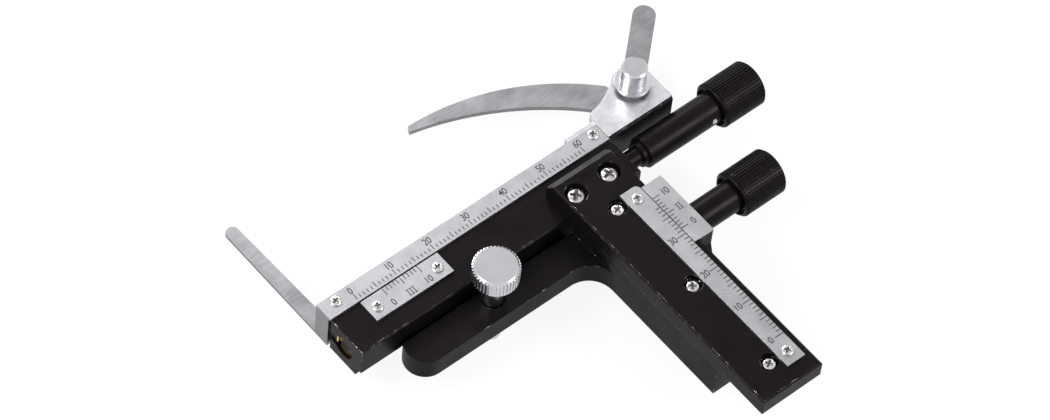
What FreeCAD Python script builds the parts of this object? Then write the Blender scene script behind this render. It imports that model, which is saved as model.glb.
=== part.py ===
import FreeCAD, Part
import math
import os
import re
import Sketcher

# Mechanical stage of a microscope.
# A bracket clamps to the microscope's table with a thumb screw.
# A plate slides along Y on the bracket, driven by a rack and pinion.
# The plate carries a guide bar, and a slide bar travels along it in X,
# driven by a four-start worm that meshes with a slanted rack.
# The slide bar ends in a fixed clip and a sprung finger for the specimen glass.
# Sizes are millimetres. The origin is on the thumb screw's axis, on the table.

Vector = FreeCAD.Vector
doc = FreeCAD.newDocument("MechanicalStage")
sheet = doc.addObject("Spreadsheet::Sheet", "Sizes")

# Driving sizes, each written once
SIZES = {
    # Clearances
    "slide_gap": 0.1,
    "running_gap": 0.03,
    "stem_gap": 0.1,
    "table_gap": 0.3,
    # How far a cutting sketch runs past what it cuts, and how deep a rib is rooted
    "cut_margin": 1.0,
    "root_depth": 0.2,
    # Bracket arm and block
    "arm_height": 5.5,
    "arm_near": -4.8,
    "arm_wall": 2.6,
    "arm_ledge": 3.9,
    "ledge_height": 2.4,
    "arm_end": -17.6,
    "arm_end_radius": 4.65,
    "block_left": 23.3,
    "block_width": 14.5,
    "block_length": 44.8,
    "block_height": 10.2,
    "inner_radius": 6.0,
    # Ear beside the Y plate
    "ear_gap": 0.3,
    "ear_thickness": 3.25,
    "ear_near": -18.8,
    "ear_length": 16.6,
    "ear_height": 14.8,
    "ear_flare": 3.2,
    # Thumb screw
    "stem_radius": 2.3,
    "stem_below": 6.5,
    "thread_radius": 2.5,
    "thread_below": 0.5,
    "thread_chamfer": 0.4,
    "thumb_base": 13.1,
    "thumb_radius": 5.0,
    "thumb_height": 4.4,
    "thumb_chamfer": 0.5,
    "thumb_ribs": 40,
    "thumb_rib_width": 0.45,
    "thumb_journal": 1.6,
    "thumb_bore_depth": 3.4,
    # Y plate, its dovetail rail and its rack
    "plate_left": 22.65,
    "plate_width": 15.65,
    "plate_near": -56.25,
    "plate_far": 10.8,
    "plate_base": 10.5,
    "plate_thickness": 4.2,
    "plate_bevel": 2.0,
    "plate_edge": 0.35,
    "seat_thickness": 0.6,
    "rail_centre": 30.1,
    "rail_top_width": 4.6,
    "rail_foot_width": 6.8,
    "rail_depth": 4.2,
    "rail_near": -54.0,
    "rail_far": 2.4,
    "groove_floor_gap": 0.3,
    "rack_left": 34.3,
    "rack_width": 3.0,
    "rack_far": -6.0,
    "rack_teeth": 25,
    "rack_first": 2.5,
    "rack_pitch": 1.5708,
    "rack_inset": 0.8,
    "rack_root_drop": 0.5,
    "rack_tooth_depth": 1.05,
    "rack_tip_width": 0.3,
    "rack_foot_width": 1.0,
    "channel_gap": 0.2,
    "channel_floor": 8.6,
    # Pinion and Y knob
    "pinion_centre": -10.6,
    "pinion_height": 5.9,
    "pinion_teeth": 14,
    "pinion_root": 2.85,
    "pinion_tip": 3.95,
    "pinion_tip_width": 0.24,
    "pinion_foot_width": 1.02,
    "pinion_pocket": 4.3,
    "pinion_shaft": 1.5,
    "y_sleeve_radius": 3.45,
    "y_sleeve_length": 13.15,
    # Both knobs
    "knob_radius": 5.2,
    "knob_length": 11.0,
    "knob_chamfer": 0.55,
    "knob_ribs": 45,
    "knob_rib_width": 0.4,
    "rib_height": 0.3,
    "rib_inset": 0.35,
    "knob_grip": 5.9,
    "knob_recess": 0.8,
    "knob_recess_radius": 4.3,
    # Guide bar
    "guide_left": -31.3,
    "guide_length": 73.5,
    "x_reserve": 5.5,
    "guide_near": 3.5,
    "guide_depth": 9.9,
    "guide_base": 0.1,
    "guide_height": 9.8,
    "guide_edge": 0.3,
    "rebate_depth": 1.7,
    "rebate_height": 2.5,
    "screw_centre": 9.3,
    "screw_height": 5.0,
    "screw_bore": 2.7,
    "mouth_centre": 4.6,
    "mouth_height": 2.0,
    "mouth_depth": 0.8,
    "slot_height": 3.2,
    "slot_depth": 0.85,
    # Slide bar, its tongue and its slanted rack
    "bar_start": 0.4,
    "bar_length": 90.5,
    "bar_gap": 0.15,
    "bar_depth": 4.35,
    "bar_base": 1.3,
    "bar_edge": 0.25,
    "strip_thickness": 0.5,
    "strip_height": 1.8,
    "strip_margin": 0.7,
    "strip_tooth_depth": 0.4,
    "strip_tooth_width": 1.2,
    # Worm and X knob
    "worm_start": 3.0,
    "worm_length": 9.6,
    "worm_starts": 4,
    "worm_pitch": 3.0,
    "worm_root": 1.4,
    "worm_outer": 2.0,
    "worm_steps": 14,
    "mesh_gap": 0.2,
    "worm_crest_angle": 13.0,
    "worm_foot_angle": 24.0,
    "journal_radius": 1.2,
    "bushing_recess": 0.7,
    "left_bushing_length": 2.2,
    "right_bushing_length": 2.8,
    "bushing_flat": 1.5,
    "washer_radius": 3.2,
    "washer_thickness": 0.45,
    "neck_radius": 2.1,
    "neck_length": 4.0,
    "collar_radius": 2.8,
    "collar_length": 1.2,
    "x_sleeve_radius": 3.55,
    "x_sleeve_length": 19.2,
    # Graduated plates
    "label_thickness": 0.6,
    "scale_overhang": 0.15,
    "scale_setback": 0.2,
    "x_vernier_left": -24.25,
    "x_vernier_length": 19.95,
    "x_vernier_near": 7.55,
    "x_vernier_far": 13.0,
    "y_scale_left": 31.9,
    "y_scale_width": 4.65,
    "y_scale_near": -52.8,
    "y_scale_length": 51.7,
    "y_scale_corner": 1.2,
    "y_vernier_left": 36.75,
    # Screw heads and where they stand
    "label_head_radius": 1.22,
    "label_head_height": 0.5,
    "plate_head_radius": 1.4,
    "plate_counterbore": 2.0,
    "plate_sink": 0.7,
    "guide_head_radius": 1.95,
    "guide_counterbore": 2.45,
    "guide_sink": 0.6,
    "guide_head_height": 1.3,
    "y_scale_screw_inset": 2.4,
    "y_scale_screw_near": 2.8,
    "y_scale_screw_far": 2.7,
    "plate_screw_far": -2.7,
    "plate_screw_spacing": 23.4,
    "guide_screw_left": 25.6,
    "guide_screw_spacing": 8.85,
    "guide_screw_row": 5.1,
    "x_vernier_screw_inset": 2.2,
    "x_vernier_screw_row": 10.15,
    "x_scale_screw_start": 3.6,
    "x_scale_screw_end": 2.1,
    "x_scale_screw_row": 16.2,
    # Fixed clip
    "clip_thickness": 0.7,
    "clip_near": 14.0,
    "clip_plate_depth": 4.0,
    "clip_sole": 0.9,
    "clip_foot_width": 3.7,
    "clip_tip_far": 48.1,
    "clip_tip_width": 2.9,
    "clip_tip_round": 1.3,
    # Bracket that carries the pivot
    "wing_thickness": 2.7,
    "roof_setback": 0.35,
    "wing_end_far": 20.1,
    "lip_length": 7.3,
    "lip_depth": 1.2,
    "wing_corner_x": 43.05,
    "wing_corner_y": 20.8,
    "wing_shoulder_x": 52.35,
    "wing_shoulder_y": 25.0,
    "wing_radius": 4.75,
    "wing_hollow": 16.0,
    "boss_radius": 2.6,
    "boss_base": 1.6,
    # Pivot post
    "pivot_x": 54.5,
    "pivot_y": 20.8,
    "post_neck_radius": 2.5,
    "post_neck_height": 1.1,
    "post_disc_radius": 3.9,
    "post_disc_height": 0.7,
    "post_cap_radius": 2.8,
    "post_cap_height": 4.8,
    "post_cap_edge": 0.35,
    "pin_radius": 1.5,
    # Sprung finger, measured from its pivot
    "finger_base": 0.3,
    "finger_thickness": 1.1,
    "hub_radius": 2.75,
    "finger_tip_x": -40.0,
    "finger_tip_y": 23.5,
    "finger_tip_width": 1.3,
    "finger_root_x": -6.37,
    "finger_root_y": 5.47,
    "finger_tip_slant": 0.7,
    "finger_heel_x": 0.4,
    "finger_heel_y": 7.78,
    "finger_inner_bow": 69.1,
    "finger_outer_bow": 55.6,
    "tab_angle": 41.9,
    "tab_reach": 28.1,
    "tab_width": 5.0,
}

# Places that follow from the driving sizes
PLACES = {
    "arm_round_centre": "arm_near + arm_end_radius",
    "block_right": "block_left + block_width",
    "block_near": "arm_wall - block_length",
    "plate_right": "plate_left + plate_width",
    "plate_top": "plate_base + plate_thickness",
    "ear_left": "plate_right + ear_gap",
    "ear_right": "ear_left + ear_thickness",
    "ear_far": "ear_near + ear_length",
    "rail_base": "plate_base - rail_depth",
    "rack_length": "rack_teeth * rack_pitch",
    "rack_near": "rack_far - rack_length",
    "rack_right": "rack_left + rack_width",
    "rack_root": "plate_base - rack_root_drop",
    "channel_left": "rack_left - channel_gap",
    "channel_right": "rack_right + channel_gap",
    "y_knob_start": "ear_right + slide_gap",
    "guide_right": "guide_left + guide_length",
    "guide_far": "guide_near + guide_depth",
    "guide_top": "guide_base + guide_height",
    "seat_base": "plate_base - seat_thickness",
    "slot_far": "guide_far - mouth_depth",
    "slot_near": "slot_far - slot_depth",
    "bar_left": "guide_left + bar_start",
    "bar_right": "bar_left + bar_length",
    "bar_near": "guide_far + bar_gap",
    "bar_far": "bar_near + bar_depth",
    "tongue_length": "guide_right - x_reserve - 2 * slide_gap - bar_left",
    "strip_teeth": "floor((tongue_length - 2 * strip_margin) / worm_pitch + 0.01)",
    "tongue_near": "slot_near + slide_gap",
    "strip_near": "tongue_near - strip_thickness",
    "worm_left": "guide_left + worm_start + slide_gap",
    "worm_lead": "worm_starts * worm_pitch",
    "first_tooth": "bar_left + strip_margin + worm_pitch / 2",
    "neck_start": "guide_right + slide_gap / 2 + washer_thickness",
    "x_knob_start": "neck_start + neck_length + collar_length",
    "label_top": "guide_top + label_thickness",
    "y_label_top": "plate_top + label_thickness",
    "x_scale_left": "bar_left - clip_thickness",
    "x_scale_end": "guide_right - scale_setback",
    "wing_start": "x_scale_end + slide_gap",
    "lip_start": "wing_start - lip_length",
    "x_scale_screw_left": "x_scale_left + x_scale_screw_start",
    "x_scale_screw_right": "x_scale_end - x_scale_screw_end",
    "y_scale_right": "y_scale_left + y_scale_width",
    "wing_base": "label_top - wing_thickness",
    "disc_base": "label_top + post_neck_height",
    "cap_base": "disc_base + post_disc_height",
    "cap_top": "cap_base + post_cap_height",
    "post_height": "cap_top - finger_base",
    "tab_half": "tab_width / 2",
    "tab_cos": "cos(tab_angle)",
    "tab_sin": "sin(tab_angle)",
    "tab_straight": "tab_reach - tab_half",
}

for row, (name, value) in enumerate({**SIZES, **PLACES}.items(), start=1):
    sheet.set(f"A{row}", name.replace("_", " "))
    sheet.set(f"B{row}", f"={value}" if name in PLACES else str(value))
    sheet.setAlias(f"B{row}", name)
working = doc.addObject("Spreadsheet::Sheet", "Working")
doc.recompute()
WORDS = set(SIZES) | set(PLACES)


def bound(formula):
    """A formula in the sheet's words, as the other objects spell it."""
    return re.sub(r"[a-z_]+", lambda word: "Sizes." * (word.group() in WORDS) + word.group(), formula)


def size(formula):
    """The value of a formula, worked out in a sheet of its own."""
    working.set("A1", f"={bound(formula)}")
    working.recompute()
    return float(working.get("A1"))


def new_body(label):
    body = doc.addObject("PartDesign::Body", label)
    body.Label = label
    return body


def plane(body, role):
    return next(feature for feature in body.Origin.OriginFeatures if feature.Role == role)


def put(thing, x="0", y="0", z="0", turn=None):
    """Places a piece, its base bound to the sheet, after an optional turn (axis, degrees)."""
    if turn:
        thing.Placement = FreeCAD.Placement(Vector(0, 0, 0), FreeCAD.Rotation(*turn))
    for axis, formula in zip("xyz", (x, y, z)):
        thing.setExpression(f"Placement.Base.{axis}", bound(formula))


ALONG_X = (Vector(0, 1, 0), 90)


def fix_point(sketch, index, end, x, y):
    """Ties one point of a sketch to the sheet."""
    for kind, formula in (("DistanceX", x), ("DistanceY", y)):
        rule = sketch.addConstraint(Sketcher.Constraint(kind, -1, 1, index, end, size(formula)))
        sketch.setExpression(f"Constraints[{rule}]", bound(formula))


def arc_between(start, end, radius, side):
    """Arc from start to end: side 1 turns left and side -1 turns right."""
    chord = end - start
    height = math.sqrt(max(radius ** 2 - (chord.Length / 2) ** 2, 0))
    inward = Vector(-chord.y, chord.x, 0).normalize() * side
    centre = (start + end) / 2 + inward * height
    first, last = (start, end) if side > 0 else (end, start)
    angles = [math.atan2(point.y - centre.y, point.x - centre.x) for point in (first, last)]
    if angles[1] < angles[0]:
        angles[1] += 2 * math.pi
    return Part.ArcOfCircle(Part.Circle(centre, Vector(0, 0, 1), radius), *angles)


def outline(body, name, role, corners, offset="0", holes=()):
    """Closed sketch through corners (x, y), or (x, y, radius, side) where an arc leads on."""
    sketch = body.newObject("Sketcher::SketchObject", name)
    sketch.AttachmentSupport = (plane(body, role), [""])
    sketch.MapMode = "FlatFace"
    sketch.setExpression("AttachmentOffset.Base.z", bound(offset))
    points = [Vector(size(corner[0]), size(corner[1]), 0) for corner in corners]
    ends = []
    for index, corner in enumerate(corners):
        start, end = points[index], points[(index + 1) % len(points)]
        if len(corner) == 2:
            sketch.addGeometry(Part.LineSegment(start, end))
            ends.append((1, 2))
        else:
            sketch.addGeometry(arc_between(start, end, size(corner[2]), corner[3]))
            ends.append((1, 2) if corner[3] > 0 else (2, 1))
    for index, corner in enumerate(corners):
        after = (index + 1) % len(corners)
        sketch.addConstraint(Sketcher.Constraint("Coincident", index, ends[index][1], after, ends[after][0]))
        fix_point(sketch, index, ends[index][0], corner[0], corner[1])
        if len(corner) == 4:
            rule = sketch.addConstraint(Sketcher.Constraint("Radius", index, size(corner[2])))
            sketch.setExpression(f"Constraints[{rule}]", bound(corner[2]))
    for x, y, radius in holes:
        circle = Part.Circle(Vector(size(x), size(y), 0), Vector(0, 0, 1), size(radius))
        index = sketch.addGeometry(circle)
        fix_point(sketch, index, 3, x, y)
        rule = sketch.addConstraint(Sketcher.Constraint("Radius", index, size(radius)))
        sketch.setExpression(f"Constraints[{rule}]", bound(radius))
    return sketch


def grow(body, kind, sketch, length, reverse=False):
    """Pads or pockets a sketch, and checks that the volume changed."""
    before = body.Shape.Volume if body.Tip else 0
    feature = body.newObject(f"PartDesign::{kind}", f"{sketch.Name}_{kind.lower()}")
    feature.Profile = sketch
    feature.setExpression("Length", bound(length))
    feature.Reversed = reverse
    doc.recompute()
    if abs(body.Shape.Volume - before) < 1e-6:
        raise ValueError(f"{feature.Name} changes nothing")
    return feature


def pad(body, name, role, corners, length, offset="0", holes=(), reverse=False):
    return grow(body, "Pad", outline(body, name, role, corners, offset, holes), length, reverse)


def pocket(body, name, role, corners, length, offset="0", holes=(), reverse=False):
    return grow(body, "Pocket", outline(body, name, role, corners, offset, holes), length, reverse)


def box_corners(left, near, right, far):
    return [(left, near), (right, near), (right, far), (left, far)]


def plate(label, corners, base, thickness, holes=()):
    """A flat piece cut from sheet, lying level."""
    body = new_body(label)
    pad(body, f"{label}_outline", "XY_Plane", corners, thickness, base, holes)
    return body


def dress(body, kind, amount, chosen, formula):
    """Rounds or chamfers the edges of the body's tip whose middle passes the test."""
    base = body.Tip
    shape = base.Shape
    names = [f"Edge{index}" for index, edge in enumerate(shape.Edges, start=1)
             if chosen(edge, edge.CenterOfMass)]
    if not names:
        raise ValueError(f"{body.Label} has no edge for {amount}")
    feature = body.newObject(f"PartDesign::{kind}", f"{body.Name}_{amount}")
    feature.Base = (base, names)
    feature.setExpression("Radius" if kind == "Fillet" else "Size", bound(formula))
    doc.recompute()
    return feature


def turned(label, corners, turn=None, **place):
    """A turned piece: corners are (radius, height) beside its axis."""
    body = new_body(label)
    sketch = outline(body, f"{label}_profile", "XZ_Plane", corners)
    spin = body.newObject("PartDesign::Revolution", f"{label}_turned")
    spin.Profile = sketch
    spin.ReferenceAxis = (sketch, ["V_Axis"])
    spin.Angle = 360
    put(body, turn=turn, **place)
    doc.recompute()
    return body


def repeat_round(body, feature, count):
    """Repeats a feature round the body's own Z axis."""
    ring = body.newObject("PartDesign::PolarPattern", f"{feature.Name}_ring")
    ring.Originals = [feature]
    ring.Axis = (plane(body, "Z_Axis"), [""])
    ring.Angle = 360
    ring.setExpression("Occurrences", bound(count))
    body.Tip = ring
    doc.recompute()


def repeat_along(body, feature, role, length, count):
    """Repeats a feature along one of the body's own axes."""
    line = body.newObject("PartDesign::LinearPattern", f"{feature.Name}_row")
    line.Originals = [feature]
    line.Direction = (plane(body, role), [""])
    line.setExpression("Length", bound(length))
    line.setExpression("Occurrences", bound(count))
    body.Tip = line
    doc.recompute()


def rib(body, radius, chamfer, bottom, top, width, count):
    """Straight ribs round a turned grip, sloped at both ends."""
    foot = f"{radius} - rib_height - root_depth"
    corners = [
        (foot, f"{bottom} + rib_inset"),
        (radius, f"{bottom} + {chamfer}"),
        (radius, f"{top} - {chamfer}"),
        (foot, f"{top} - rib_inset"),
    ]
    single = pad(body, f"{body.Name}_rib", "XZ_Plane", corners, width, f"-{width} / 2")
    repeat_round(body, single, count)


# Bracket: arm, block and ear in one casting

def make_mount_bracket():
    body = new_body("mount_bracket")
    round_far = "arm_round_centre + arm_end_radius"
    round_left = "arm_end - arm_end_radius"
    arm = [
        ("block_left", round_far),
        ("arm_end", round_far, "arm_end_radius", 1),
        (round_left, "arm_round_centre", "arm_end_radius", 1),
        ("arm_end", "arm_near"),
        ("block_right", "arm_near"),
        ("block_right", "arm_wall"),
        ("block_left", "arm_wall"),
    ]
    stem_hole = [("0", "0", "thread_radius + stem_gap")]
    pad(body, "arm", "XY_Plane", arm, "arm_height", holes=stem_hole)
    beyond = box_corners(f"{round_left} - cut_margin", "arm_ledge", "block_left", f"{round_far} + cut_margin")
    pocket(body, "arm_edge", "XY_Plane", beyond, "arm_height", reverse=True)
    above = box_corners(f"{round_left} - cut_margin", "arm_wall", "block_left", f"{round_far} + cut_margin")
    pocket(body, "arm_rebate", "XY_Plane", above, "arm_height", "ledge_height", reverse=True)
    block = box_corners("block_left", "block_near", "block_right", "arm_wall")
    pad(body, "block", "XY_Plane", block, "block_height")
    web = box_corners("block_right", "ear_near", "ear_right", "ear_far")
    pad(body, "web", "XY_Plane", web, "block_height")
    ear = [
        ("ear_far", "0"),
        ("ear_far", "ear_height"),
        ("ear_near", "ear_height"),
        ("ear_near", "block_height"),
        ("ear_near - ear_flare", "0"),
    ]
    pad(body, "ear", "YZ_Plane", ear, "ear_thickness", "ear_left")
    dress(body, "Fillet", "inner_corner", lambda edge, middle: (
        abs(middle.x - size("block_left")) < 0.01 and abs(middle.y - size("arm_near")) < 0.01
        and edge.Length > size("arm_height") - 0.1 and edge.BoundBox.ZLength > 1), "inner_radius")
    far = "arm_wall + cut_margin"
    long_cut = "block_length + 2 * cut_margin"
    half_top = "rail_top_width / 2 + slide_gap"
    half_foot = "rail_foot_width / 2 + slide_gap"
    floor = "rail_base - groove_floor_gap"
    groove = [
        (f"rail_centre - ({half_foot})", floor),
        (f"rail_centre + ({half_foot})", floor),
        (f"rail_centre + ({half_top})", "plate_base"),
        (f"rail_centre - ({half_top})", "plate_base"),
    ]
    pocket(body, "dovetail", "XZ_Plane", groove, long_cut, f"-({far})", reverse=True)
    channel = box_corners("channel_left", "channel_floor", "channel_right",
                          "block_height + cut_margin")
    pocket(body, "rack_channel", "XZ_Plane", channel, long_cut, f"-({far})", reverse=True)
    bore = [("pinion_centre", "pinion_height", "pinion_pocket")]
    pocket(body, "pinion_bore", "YZ_Plane", [], "ear_right - channel_left + cut_margin",
           "channel_left", bore, reverse=True)
    return body


def make_pinion_bushing():
    inner = "pinion_shaft + running_gap"
    return turned("pinion_bushing", box_corners(inner, "0", "pinion_pocket", "ear_right - channel_right"),
                  ALONG_X, x="channel_right", y="pinion_centre", z="pinion_height")


# Thumb screw: the threaded stem and the fluted head that turns it

def make_thumb_screw():
    turned("clamp_stud", [
        ("0", "-stem_below"),
        ("thread_radius - thread_chamfer", "-stem_below"),
        ("thread_radius", "thread_chamfer - stem_below"),
        ("thread_radius", "-thread_below"),
        ("stem_radius", "-thread_below"),
        ("stem_radius", "thumb_base"),
        ("thumb_journal", "thumb_base"),
        ("thumb_journal", "thumb_base + thumb_bore_depth"),
        ("0", "thumb_base + thumb_bore_depth"),
    ])
    bore = "thumb_journal + running_gap"
    bore_top = "thumb_base + thumb_bore_depth + slide_gap"
    head_top = "thumb_base + thumb_height"
    core = "thumb_radius - rib_height"
    head = turned("clamp_head", [
        (bore, "thumb_base"),
        (core, "thumb_base"),
        (core, f"{head_top} - rib_height"),
        (f"{core} - rib_height", head_top),
        ("0", head_top),
        ("0", bore_top),
        (bore, bore_top),
    ])
    rib(head, "thumb_radius", "thumb_chamfer", "thumb_base", head_top, "thumb_rib_width", "thumb_ribs")


# Y plate with its counterbored screw holes, rail and rack

PLATE_SCREWS = {
    "plate_screw_far": "plate_screw_far",
    "plate_screw_middle": "plate_screw_far - plate_screw_spacing",
    "plate_screw_near": "plate_screw_far - 2 * plate_screw_spacing",
}
GUIDE_SCREWS = {
    "guide_screw_one": "guide_screw_left",
    "guide_screw_two": "guide_screw_left + guide_screw_spacing",
}
Y_SCALE_SCREWS = {
    "y_scale_screw_one": "y_scale_near + y_scale_screw_near",
    "y_scale_screw_two": "y_scale_near + y_scale_length - y_scale_screw_far",
}
X_VERNIER_SCREWS = {
    "x_vernier_screw_one": "x_vernier_left + x_vernier_screw_inset",
    "x_vernier_screw_two": "x_vernier_left + x_vernier_length - x_vernier_screw_inset",
}
X_SCALE_SCREWS = {
    "x_scale_screw_one": "x_scale_screw_left",
    "x_scale_screw_two": "x_scale_screw_right",
}
Y_SCALE_ROW = "y_scale_left + y_scale_screw_inset"


def make_y_plate():
    body = new_body("y_slide_plate")
    plan = box_corners("plate_left", "plate_near", "plate_right", "plate_far")
    pad(body, "plate_plan", "XY_Plane", plan, "plate_thickness", "plate_base")
    dress(body, "Chamfer", "edge_break", lambda edge, middle: (
        abs(middle.z - size("plate_top")) < 0.01 and middle.y < size("plate_far") - 0.01), "plate_edge")
    seat = box_corners("plate_left", "guide_near", "plate_right", "plate_far")
    pad(body, "plate_seat", "XY_Plane", seat, "seat_thickness", "seat_base")
    bevel = [
        ("plate_far - plate_bevel", "plate_top"),
        ("plate_far", "plate_top - plate_bevel"),
        ("plate_far + cut_margin", "plate_top - plate_bevel"),
        ("plate_far + cut_margin", "plate_top + cut_margin"),
        ("plate_far - plate_bevel", "plate_top + cut_margin"),
    ]
    pocket(body, "plate_end", "YZ_Plane", bevel, "plate_width + 2 * cut_margin",
           "plate_left - cut_margin", reverse=True)
    slot = box_corners("rack_left", "rack_near", "rack_right", "rack_far")
    pocket(body, "rack_slot", "XY_Plane", slot, "rack_inset", "plate_base", reverse=True)
    wide = [("rail_centre", y, "plate_counterbore") for y in PLATE_SCREWS.values()]
    pocket(body, "counterbores", "XY_Plane", [], "plate_sink + label_head_height", "plate_top", wide)
    wider = [(x, "guide_screw_row", "guide_counterbore") for x in GUIDE_SCREWS.values()]
    pocket(body, "large_counterbores", "XY_Plane", [], "guide_sink + guide_head_height", "plate_top", wider)


def make_rail():
    body = new_body("y_dovetail_rail")
    section = [
        ("rail_centre - rail_foot_width / 2", "rail_base"),
        ("rail_centre + rail_foot_width / 2", "rail_base"),
        ("rail_centre + rail_top_width / 2", "plate_base"),
        ("rail_centre - rail_top_width / 2", "plate_base"),
    ]
    pad(body, "rail_section", "XZ_Plane", section, "rail_far - rail_near", "-rail_far")


def make_rack():
    body = new_body("y_rack")
    strip = box_corners("rack_left", "rack_near", "rack_right", "rack_far")
    pad(body, "rack_back", "XY_Plane", strip, "plate_base + rack_inset - rack_root", "rack_root")
    first = "pinion_centre + rack_first * rack_pitch"
    tooth = [
        (f"{first} - rack_foot_width / 2", "rack_root"),
        (f"{first} - rack_tip_width / 2", "rack_root - rack_tooth_depth"),
        (f"{first} + rack_tip_width / 2", "rack_root - rack_tooth_depth"),
        (f"{first} + rack_foot_width / 2", "rack_root"),
    ]
    cut = pad(body, "rack_tooth", "YZ_Plane", tooth, "rack_width", "rack_left")
    repeat_along(body, cut, "Y_Axis", "(rack_teeth - 1) * rack_pitch", "rack_teeth")
    body.Tip.Reversed = True


# Pinion on its shaft, and the knobs

def make_pinion():
    body = new_body("y_pinion_shaft")
    gear_length = "rack_width - slide_gap"
    pad(body, "pinion_core", "XY_Plane", [], gear_length, holes=[("0", "0", "pinion_root")])
    tooth = [
        ("pinion_root - root_depth", "-pinion_foot_width / 2"),
        ("pinion_root", "-pinion_foot_width / 2"),
        ("pinion_tip", "-pinion_tip_width / 2"),
        ("pinion_tip", "pinion_tip_width / 2"),
        ("pinion_root", "pinion_foot_width / 2"),
        ("pinion_root - root_depth", "pinion_foot_width / 2"),
    ]
    single = pad(body, "pinion_tooth", "XY_Plane", tooth, gear_length)
    repeat_round(body, single, "pinion_teeth")
    reach = "y_knob_start - rack_left - slide_gap / 2 + y_sleeve_length + knob_grip"
    pad(body, "pinion_arbor", "XY_Plane", [], reach, holes=[("0", "0", "pinion_shaft")])
    put(body, "rack_left + slide_gap / 2", "pinion_centre", "pinion_height", ALONG_X)


def make_knob(label, sleeve_radius, sleeve_length, shaft_radius, start, centre, height):
    """Sleeve and ribbed knob, turned in one piece, recessed round the sleeve and bored for its shaft."""
    end = f"{sleeve_length} + knob_length"
    core = "knob_radius - rib_height"
    rim = "knob_radius - knob_chamfer"
    knob = turned(label, [
        (shaft_radius, "0"),
        (sleeve_radius, "0"),
        (sleeve_radius, f"{sleeve_length} + knob_recess"),
        ("knob_recess_radius", f"{sleeve_length} + knob_recess"),
        ("knob_recess_radius", sleeve_length),
        (rim, sleeve_length),
        (core, f"{sleeve_length} + knob_chamfer - rib_height"),
        (core, f"{end} - knob_chamfer + rib_height"),
        (rim, end),
        ("0", end),
        ("0", f"{sleeve_length} + knob_grip"),
        (shaft_radius, f"{sleeve_length} + knob_grip"),
    ], ALONG_X, x=start, y=centre, z=height)
    rib(knob, "knob_radius", "knob_chamfer", sleeve_length, end, "knob_rib_width", "knob_ribs")


# Guide bar with its bore, T slot and rebate

def make_guide():
    body = new_body("x_guide_bar")
    mouth_base = "mouth_centre - mouth_height / 2"
    mouth_top = "mouth_centre + mouth_height / 2"
    slot_base = "mouth_centre - slot_height / 2"
    slot_top = "mouth_centre + slot_height / 2"
    section = [
        ("guide_near + rebate_depth", "guide_base"),
        ("guide_far", "guide_base"),
        ("guide_far", mouth_base),
        ("slot_far", mouth_base),
        ("slot_far", slot_base),
        ("slot_near", slot_base),
        ("slot_near", slot_top),
        ("slot_far", slot_top),
        ("slot_far", mouth_top),
        ("guide_far", mouth_top),
        ("guide_far", "guide_top"),
        ("guide_near + guide_edge", "guide_top"),
        ("guide_near", "guide_top - guide_edge"),
        ("guide_near", "guide_base + rebate_height"),
        ("guide_near + rebate_depth", "guide_base + rebate_height"),
    ]
    pad(body, "guide_section", "YZ_Plane", section, "guide_length", "guide_left")
    bore = [("screw_centre", "screw_height", "screw_bore")]
    pocket(body, "guide_bore", "YZ_Plane", [], "guide_length + 2 * cut_margin",
           "guide_left - cut_margin", bore, reverse=True)


def make_screw_bushing(label, start, length):
    """Ring for the lead screw, with a flat that the rack's teeth pass."""
    body = turned(label, box_corners("journal_radius + running_gap", "0", "screw_bore", length),
                  ALONG_X, x=start, y="screw_centre", z="screw_height")
    reach = "screw_bore + cut_margin"
    flat = box_corners(f"-({reach})", "bushing_flat", reach, reach)
    pocket(body, f"{label}_flat", "XY_Plane", flat, f"{length} + 2 * cut_margin", "-cut_margin",
           reverse=True)


# Slide bar with its T tongue, and the slanted rack in it

def make_slide_bar():
    body = new_body("x_slide_bar")
    section = [
        ("bar_near", "bar_base"),
        ("bar_far", "bar_base"),
        ("bar_far", "guide_top"),
        ("bar_near + bar_edge", "guide_top"),
        ("bar_near", "guide_top - bar_edge"),
    ]
    pad(body, "bar_section", "YZ_Plane", section, "bar_length", "bar_left")
    web_half = "mouth_height / 2 - slide_gap"
    head_half = "slot_height / 2 - slide_gap"
    head_far = "slot_far - slide_gap"
    tongue = [
        ("bar_near", f"mouth_centre - ({web_half})"),
        ("bar_near", f"mouth_centre + ({web_half})"),
        (head_far, f"mouth_centre + ({web_half})"),
        (head_far, f"mouth_centre + {head_half}"),
        ("tongue_near", f"mouth_centre + {head_half}"),
        ("tongue_near", f"mouth_centre - ({head_half})"),
        (head_far, f"mouth_centre - ({head_half})"),
        (head_far, f"mouth_centre - ({web_half})"),
    ]
    pad(body, "tongue_section", "YZ_Plane", tongue, "tongue_length", "bar_left")


def make_rack_strip():
    body = new_body("x_rack_strip")
    low = "screw_height - strip_height / 2"
    high = "screw_height + strip_height / 2"
    back = box_corners("bar_left", low, "bar_left + tongue_length", high)
    pad(body, "strip_back", "XZ_Plane", back, "strip_thickness", "-tongue_near")
    slant = "strip_height / 2 * worm_lead / (pi * (worm_outer + worm_root + mesh_gap))"
    half = "strip_tooth_width / 2"
    tooth = [
        (f"first_tooth - {slant} - {half}", low),
        (f"first_tooth - {slant} + {half}", low),
        (f"first_tooth + {slant} + {half}", high),
        (f"first_tooth + {slant} - {half}", high),
    ]
    single = pad(body, "strip_tooth", "XZ_Plane", tooth, "strip_tooth_depth", "-strip_near")
    repeat_along(body, single, "X_Axis", "(strip_teeth - 1) * worm_pitch", "strip_teeth")


# Lead screw: four threads as flat facets between sections turned along the axis

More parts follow.
